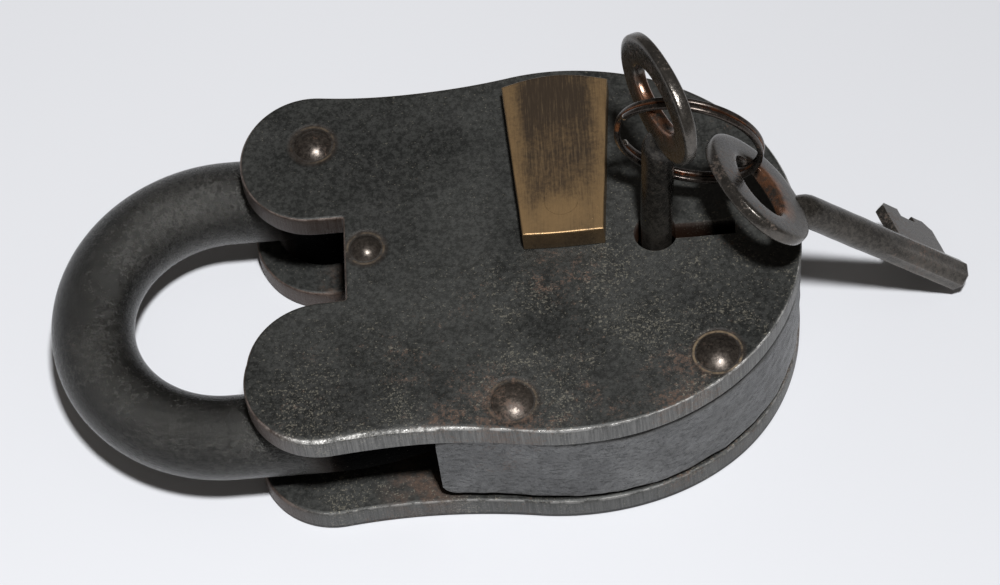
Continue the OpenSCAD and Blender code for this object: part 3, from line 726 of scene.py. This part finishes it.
def end_draft(x, z):
    """How far the round end leans in towards the back: 1.8 mm at z = 0, none at the front face."""
    return 1.8 * np.clip(x / BODY_END, 0, 1.05) ** 2 * (1 - z / CASE_T)


# %% The two plates
def tail_holes(places, shank_d):
    """Holes that clear the spread tails of rivets with this shank, at these places."""
    across = shank_d + 2 * TAIL_GROW + TAIL_ROOM
    return [(circle_loop(x, y, across), 0.0, 0.3, 0.2) for x, y in places]


SMALL = [RIVETS[n][:2] for n in ("notch", "near_left", "near_right")]
FRONT_HOLES = [(keyhole_loop(), 0.18, 0.35, 1.0)] + tail_holes(FAR_RIVETS, RIVET_D)
BACK_HOLES = (tail_holes(SMALL, RIVET_D) + tail_holes(FAR_RIVETS, RIVET_D)
              + tail_holes([RIVETS["pivot"][:2]], PIVOT_D) + tail_holes(POSTS, POST_D))
# The front plate's near lobe is rubbed to a wide soft round, the other edges only a little.
SOFT = 1 + 2.3 * np.exp(-((OUT_P[:, 0] + 66) / 17) ** 2) * (OUT_P[:, 1] < -20)
for name, node, z0, seed, spread, holes in (
        ("front_plate_skin", "front_plate", CASE_T - PLATE_T, 11, SOFT, FRONT_HOLES),
        ("back_plate_skin", "back_plate", 0.0, 23, 1.0, BACK_HOLES)):
    inner = 1.7 + 1.4 * (spread - 1)
    parts = slab(OUT_P, OUT_N, z0, z0 + PLATE_T, seed, inner=inner, spread=spread, draft=True,
                 holes=holes)
    dress(build(name, parts[0], parts[1], "plate_iron", parts[2], parts[3]), "body", node)

# %% [markdown]
# ## Rim band
# On the real lock a strip of grey iron is bent round between the plates and hammered. It could be
# a plane with a displacement, but its thickness, its round corner and its wandering edges are
# easier as one closed grid: one way along the outline, the other way round the strip's section.


# %% Rim band
BAND_START, BAND_T, CORNER_R = 24.4, 2.5, 3.6


def band():
    """Strip along the outline s: outer face at inset(s) plus dents, inner face one thickness in from
    inset(s), edges at z0 + gap(s) and z1 - gap(s). At the round end it is nearly flush with the plates."""
    keep = OUT_P[:, 0] > -PIVOT_BACK + BAND_START
    order = np.roll(np.arange(len(OUT_P)), len(OUT_P) // 2)
    order = order[keep[order]]
    p, nrm = OUT_P[order], OUT_N[order]
    rows = len(p)
    s = np.linspace(0, 1, rows)
    z0, z1 = PLATE_T, CASE_T - PLATE_T
    inset = (0.75 - 0.55 / (1 + np.exp(-(p[:, 0] + 8) / 8)))[:, None]
    reach = p[:, 0] + PIVOT_BACK - BAND_START
    near_side = (p[:, 1] < 0) * 1.0
    along = 1 - np.clip(reach / CORNER_R, 0, 1)
    corner = CORNER_R * (1 - np.sqrt(np.clip(1 - along ** 2, 0, 1))) * near_side
    gape = 0.75 * np.exp(-(reach / 34) ** 2) + 0.6 * np.exp(-((reach - 67) / 13) ** 2)
    open_low = 0.35 + near_side * gape
    open_high = 0.15 + 0.75 / (1 + np.exp(-(p[:, 0] + 14) / 4))
    lo = z0 + open_low + np.abs(wobble(s, 41, 0.25)) + corner
    hi = z1 - open_high - np.abs(wobble(s, 42, 0.45)) - 0.35 * corner
    v = np.concatenate([np.linspace(0, 1, 26), np.linspace(1, 0, 8)])
    outer = np.concatenate([np.ones(26), np.zeros(8)])
    z = lo[:, None] + (hi - lo)[:, None] * v[None, :]
    border = np.minimum(v, 1 - v)
    edge_round = 0.55 * outer * (1 - np.clip(border / 0.05, 0, 1)) ** 2
    u = s[:, None] * 40
    dents = (np.sin(2.1 * u + 3.0 * np.sin(0.45 * z)) * np.sin(0.62 * z + 1.3 * np.sin(1.1 * u))
             + 0.5 * np.sin(4.7 * u + 0.9 * z) * np.sin(1.3 * z - 2.2 * u))
    depth = inset + 0.10 - 0.13 * dents * outer + edge_round
    depth = np.where(outer > 0, depth, inset + BAND_T)
    verts = np.concatenate([p[:, None, :] - nrm[:, None, :] * depth[..., None], z[..., None]], axis=-1)
    verts[..., 0] -= end_draft(verts[..., 0], verts[..., 2])
    cols = verts.shape[1]
    edge = (outer * np.clip(1 - border / 0.06, 0, 1) * 0.5)[None, :].repeat(rows, axis=0)
    # side marks the inner face and the two edges, which the band material paints near-black as shade.
    side = np.where((outer == 0) | (border < 0.01), 1.0, 0.0)[None, :].repeat(rows, axis=0)
    caps = [list(range(cols))[::-1], list(range((rows - 1) * cols, rows * cols))]
    return verts.reshape(-1, 3), ring_quads(rows, cols) + caps, edge.ravel(), side.ravel()


parts = band()
dress(build("rim_band_skin", parts[0], parts[1], "band_iron", parts[2], parts[3], smooth_deg=40), "body",
      "rim_band")

# %% [markdown]
# ## Brass cover
# The real cover is a tapered brass slab that swings over the keyhole on one flush rivet. The same
# slab surface as the plates makes it, with a smaller edge radius because brass is filed finer,
# and with a hole that shows the rivet.


# %% Brass cover
def cover_loop():
    """The cover's outline about its pivot: straight sides from the narrow end to the wide end, both
    ends bowed outwards by a shallow parabola."""
    low, high, narrow, wide = -8.8, 34.4, 9.15, 12.3
    x = np.linspace(-1, 1, 19)
    bottom = np.stack([x * narrow, low + 0.25 * x ** 2], axis=1)
    top = np.stack([-x * wide * 0.985, high - 2.2 * x ** 2], axis=1)
    t = np.linspace(0, 1, 42)[1:-1, None]
    right = bottom[-1] + (top[0] - bottom[-1]) * t
    left = top[-1] + (bottom[0] - top[-1]) * t
    return np.concatenate([bottom, right, top, left]) + np.array(COVER_AT)


loop = cover_loop()
hole = [(circle_loop(*COVER_AT, 5.1), 1.3, 1.6, 0.0)]
parts = slab(loop, loop_normals(loop), CASE_T + 0.02, CASE_T + COVER_T, 31, radius=0.45, uneven=0.1,
             waver=0.05, inner=0.8, holes=hole)
dress(build("keyhole_cover_skin", parts[0], parts[1], "cover_brass", parts[2], parts[3]), "cover",
      "keyhole_cover")

# %% [markdown]
# ## Keys
# Each real key was forged and filed from one piece: a flat oval bow with rounded rims, a shank
# filed to eight flats at its end, and a bit with one ward notch. Three closed shells that run
# into each other show that at less cost than a joined one. The keys differ only in the length of
# the shank and in where they are.


# %% Key surfaces
def oval(a, b, t, power=2.1):
    """Superellipse point at angle t: (a sgn cos |cos|^(2/p), b sgn sin |sin|^(2/p))."""
    c, s = np.cos(t), np.sin(t)
    x = a * np.sign(c) * np.abs(c) ** (2 / power)
    y = b * np.sign(s) * np.abs(s) ** (2 / power)
    return np.stack([x, y], -1)


def bow():
    """Ring between two ovals. At section angle v it is middle + half * C(v) + Y * h * S(v), with C
    and S the rounded-square cosine and sine, so the faces are flat and the rims round."""
    t = np.linspace(0, 2 * np.pi, 120, endpoint=False)
    v = np.linspace(0, 2 * np.pi, 28, endpoint=False)
    outer, inner = oval(16.2, 13.1, t), oval(9.4, 5.4, t)
    inner[:, 1] += EYE_LIFT
    mid, half = (outer + inner) / 2, (outer - inner) / 2
    c = np.sign(np.cos(v)) * np.abs(np.cos(v)) ** 0.42
    s = np.sign(np.sin(v)) * np.abs(np.sin(v)) ** 0.42
    flat = mid[:, None, :] + half[:, None, :] * c[None, :, None]
    h = BOW_T / 2 * (1 + 0.06 * np.sin(3 * t + 0.7))
    y = h[:, None] * s[None, :]
    verts = np.stack([flat[..., 0], y, flat[..., 1]], axis=-1).reshape(-1, 3)
    edge = np.broadcast_to(np.clip(np.abs(c) * 1.6 - 0.9, 0, 1) * 0.45, (len(t), len(v))).ravel()
    low_end = np.clip(-1.4 * np.sin(t) - 0.2, 0, 1)[:, None]
    side = (np.clip(-c * 1.8 - 0.7, 0, 1)[None, :] * low_end).ravel()
    return verts, [f[::-1] for f in ring_quads(len(t), len(v), closed_rows=True)], edge, side


def shank(tip):
    """Shank along -Z: radius r(z), narrowed into the bow and chamfered at the tip. Towards the tip it
    is filed to eight flats: r cos(22.5 deg) / cos(a mod 45 deg - 22.5 deg), blended in along z."""
    r = SHANK_R
    z = np.concatenate([[-10.6, -11.5, -13, -14.6, -16.2], np.linspace(-18, 1 - tip, 40), [0.4 - tip, -tip]])
    radius = np.concatenate([[1.5, 1.9, 2.7, 3.35, r], np.full(40, r), [r - 0.35, r - 1.0]])
    a = np.linspace(0, 2 * np.pi, 40, endpoint=False)
    eighth = math.pi / 8
    flats = math.cos(eighth) / np.cos(np.mod(a, 2 * eighth) - eighth)
    filed = np.clip((-z - (tip - 34)) / 14, 0, 1)[:, None]
    waver = 1 - 0.010 * np.abs(np.sin(3 * a[None, :] + 0.02 * z[:, None])) + 0.006 * np.sin(z[:, None] * 0.9)
    rad = radius[:, None] * waver * (1 - filed + filed * flats[None, :])
    verts = np.stack([rad * np.cos(a), rad * np.sin(a), np.broadcast_to(z[:, None], rad.shape)], axis=-1)
    quads = [f[::-1] for f in ring_quads(len(z), len(a))]
    caps = [list(range(len(a))), list(range((len(z) - 1) * len(a), len(z) * len(a)))[::-1]]
    edge = np.repeat(np.concatenate([np.zeros(len(z) - 2), [0.8, 0.6]]), len(a))
    ridge = (flats[None, :] - math.cos(eighth)) / (1 - math.cos(eighth)) * filed * 0.35
    return verts.reshape(-1, 3), quads + caps, np.maximum(edge, ridge.ravel()), np.zeros(len(edge))


def bit(tip):
    """The bit: a slab BIT_T thick in the bow's plane, its outline notched once for the ward."""
    e, far_end = -BIT_REACH, BIT_TIP_GAP - tip
    lo = far_end + 6.2
    hi = lo + 4.4
    near = far_end + BIT_L
    corners = [(-2.2, near), (e + 1.2, near), (e, near - 1.2), (e + 0.15, hi), (e + 2.5, hi), (e + 2.6, lo),
               (e + 0.9, lo), (e + 0.95, far_end + 2.5), (e + 3.2, far_end), (-2.2, far_end)]
    loop = polyline_loop(corners, 0.8)
    verts, faces, edge, _ = slab(loop, loop_normals(loop), -BIT_T / 2, BIT_T / 2, 7, radius=0.3,
                                 uneven=0.06, waver=0.05, inner=0.7)
    turned = np.stack([verts[:, 0], -verts[:, 2], verts[:, 1]], axis=1)
    return turned, faces, edge * 0.6, np.zeros(len(edge))


def euler(axis, deg):
    """Rotation matrix about one of the axes x, y, z."""
    return np.array(Matrix.Rotation(math.radians(deg), 3, axis))


def key(name, node, body, tip, place, turn):
    """Joins bow, shank and bit, turns them and puts them in place."""
    verts, faces, edge, side = [], [], [], []
    for v, f, e, inside in (bow(), shank(tip), bit(tip)):
        base = sum(len(x) for x in verts)
        verts.append(v)
        faces += [[i + base for i in face] for face in f]
        edge.append(e)
        side.append(inside)
    points = np.concatenate(verts) @ turn.T + place
    obj = build(name, points, faces, "key_iron", np.concatenate(edge), np.concatenate(side), smooth_deg=24)
    return dress(obj, body, node)


# %% Both keys in place
KEY_BASE = np.array([0, KEYHOLE_Y, CASE_T - PLATE_T / 2])
LONG_TIP = BOW_UP + (KEY_BASE[2] - PLATE_T - TIP_UP) / math.cos(math.radians(LEAN))
SHORT_TIP = 68.6
BIT_L = ((CASE_T - 2 * PLATE_T - TIP_UP) / math.cos(math.radians(LEAN))
         - BIT_REACH * math.tan(math.radians(LEAN)) - BIT_TIP_GAP - BIT_TOP_GAP)
lean_axis = euler("Z", LEAN_AZ) @ euler("Y", LEAN) @ np.array([0, 0, 1.0])
bow_at = KEY_BASE + BOW_UP * lean_axis
key("standing_key_skin", "standing_key", "key", LONG_TIP, bow_at,
    euler("Z", LEAN_AZ) @ euler("Y", LEAN) @ euler("Z", 57.8))
key("second_key_skin", "second_key", "body", SHORT_TIP, bow_at + np.array([19.7, -8.0, -26.2]),
    euler("Z", 188) @ euler("Y", 41.2) @ euler("Z", 103))

# %% [markdown]
# ## Split ring
# A real split ring is one wire wound twice, so its turns lie against each other and cross over
# once. A curve with a round bevel would do, but carrying the section along the path as a grid
# also gives the slightly squared wire, the tapered ends and the rust between the turns.


# %% Split ring
def ring_wire(radius=16.0, wire_r=0.7, half_pitch=0.73):
    """Wire along (R cos a, R sin a, h(a)): h steps smoothly from -half_pitch to +half_pitch over the
    28 degrees of the crossing, and the section is a slightly squared circle of radius wire_r."""
    a = np.radians(np.linspace(24, 696, 420))
    step = np.clip((np.degrees(a) - 346) / 28, 0, 1)
    height = half_pitch * (2 * step * step * (3 - 2 * step) - 1)
    v = np.linspace(0, 2 * np.pi, 18, endpoint=False)
    squared = lambda w: np.sign(w) * np.abs(w) ** 0.8
    from_end = np.minimum(np.arange(len(a)), np.arange(len(a))[::-1])
    taper = np.clip(from_end / 2 + 0.55, 0, 1)[:, None]
    out = radius + wire_r * squared(np.cos(v))[None, :] * taper
    up = height[:, None] + wire_r * squared(np.sin(v))[None, :] * taper
    verts = np.stack([out * np.cos(a)[:, None], out * np.sin(a)[:, None], up], axis=-1).reshape(-1, 3)
    cols, rows = len(v), len(a)
    caps = [list(range(cols)), list(range((rows - 1) * cols, rows * cols))[::-1]]
    facing = np.sin(v)[None, :] * -np.sign(height)[:, None]
    side = np.clip(facing * 1.7 - 0.8, 0, 1).ravel()
    edge = np.repeat(np.clip(3 - from_end, 0, 1) * 0.8, cols)
    return verts, [f[::-1] for f in ring_quads(rows, cols)] + caps, edge, side


parts = ring_wire()
ring_turn = euler("Z", 76.2) @ euler("Y", 85.2) @ euler("Z", 96)
ring_points = parts[0] @ ring_turn.T + bow_at + np.array([5.68, 0.03, -17.0])
dress(build("split_ring_skin", ring_points, parts[1], "ring_steel", parts[2], parts[3], smooth_deg=50),
      "body", "split_ring")

# %% [markdown]
# ## Table and light
# A plain pale table runs off to a pale distance, with painted shade making it a little darker on the far
# side and to the right.
# One small lamp stands high on the near side, so shadows fall close under the shackle and the
# hanging key, and a faint warm world fills them. More lamps would mean more glints on each rivet.

# %% Table
TABLE_HALF = 6.0


def table_top():
    """A wide flat sheet at z = 0, pale and slightly cool, with painted shade easing its tone down towards +Y
    and +X.
    """
    mesh = bpy.data.meshes.new("table_top")
    s = TABLE_HALF
    mesh.from_pydata([(-s, -s, 0), (s, -s, 0), (s, s, 0), (-s, s, 0)], [], [(0, 1, 2, 3)])
    obj = bpy.data.objects.new("table_top", mesh)
    scene.collection.objects.link(obj)
    mat = bpy.data.materials.new("table_white")
    mat.use_nodes = True
    tree = mat.node_tree
    bsdf = tree.nodes["Principled BSDF"]
    xyz = add(tree, "ShaderNodeSeparateXYZ", Vector=tree.nodes.new("ShaderNodeTexCoord").outputs["Object"])
    # Painted shade: the colour darkens towards the far side and to the right, in place of the light's
    # falloff.
    far = ramp(tree, xyz.outputs["Y"], -0.16, 0.16)
    right = times(tree, ramp(tree, xyz.outputs["X"], -0.10, 0.14), 0.12)
    tone = mix(tree, far, (0.80, 0.812, 0.845), (0.70, 0.708, 0.735))
    tree.links.new(mix(tree, right, tone, (0.0, 0.0, 0.0)), bsdf.inputs["Base Color"])
    bsdf.inputs["Roughness"].default_value = 0.55
    mesh.materials.append(mat)
    return obj


table_top()


# %% Lamps and world
def area(name, at, size, power, color, target=(0, 0, 0.02)):
    """A square area lamp at a place, facing the target."""
    lamp = bpy.data.lights.new(name, "AREA")
    lamp.shape, lamp.size, lamp.energy, lamp.color = "SQUARE", size, power, color
    obj = bpy.data.objects.new(name, lamp)
    scene.collection.objects.link(obj)
    obj.location = at
    obj.rotation_mode = "QUATERNION"
    obj.rotation_quaternion = (Vector(at) - Vector(target)).to_track_quat("Z", "Y")
    return obj


area("key_lamp", at=(0.264, -0.68, 2.2), size=0.17, power=60.0, color=(0.985, 0.99, 1.0))
world = bpy.data.worlds.new("room")
scene.world = world
world.use_nodes = True
background = world.node_tree.nodes["Background"]
background.inputs["Color"].default_value = (1.0, 0.93, 0.86, 1)
background.inputs["Strength"].default_value = 0.09

# %% [markdown]
# ## Camera
# A long lens looks steeply down from the near side, rolled a little. Three angles make its axes,
# because they can be read and changed one at a time, as a rotation matrix can't.

# %% Camera
CAMERA_ANGLES = (57.0, 4.988, -8.873)
CAMERA_AT = (0.01437, -0.58159, 0.9194)
CAMERA_LENS = 170.375


def desk_camera():
    """Camera axes from an elevation, an azimuth and a roll, all in degrees."""
    el, az, roll = (math.radians(v) for v in CAMERA_ANGLES)
    back = Vector((math.sin(az) * math.cos(el), -math.cos(az) * math.cos(el), math.sin(el)))
    right0 = Vector((math.cos(az), math.sin(az), 0))
    up0 = back.cross(right0)
    right = right0 * math.cos(roll) + up0 * math.sin(roll)
    up = up0 * math.cos(roll) - right0 * math.sin(roll)
    cam = bpy.data.cameras.new("desk_camera")
    cam.sensor_width, cam.lens = 36.0, CAMERA_LENS
    obj = bpy.data.objects.new("desk_camera", cam)
    scene.collection.objects.link(obj)
    turn = Matrix((right, up, back)).transposed()
    obj.matrix_world = Matrix.Translation(CAMERA_AT) @ turn.to_4x4()
    return obj


scene.camera = desk_camera()
scene.view_settings.view_transform = "Standard"
print("camera lens: %.1f mm" % scene.camera.data.lens)
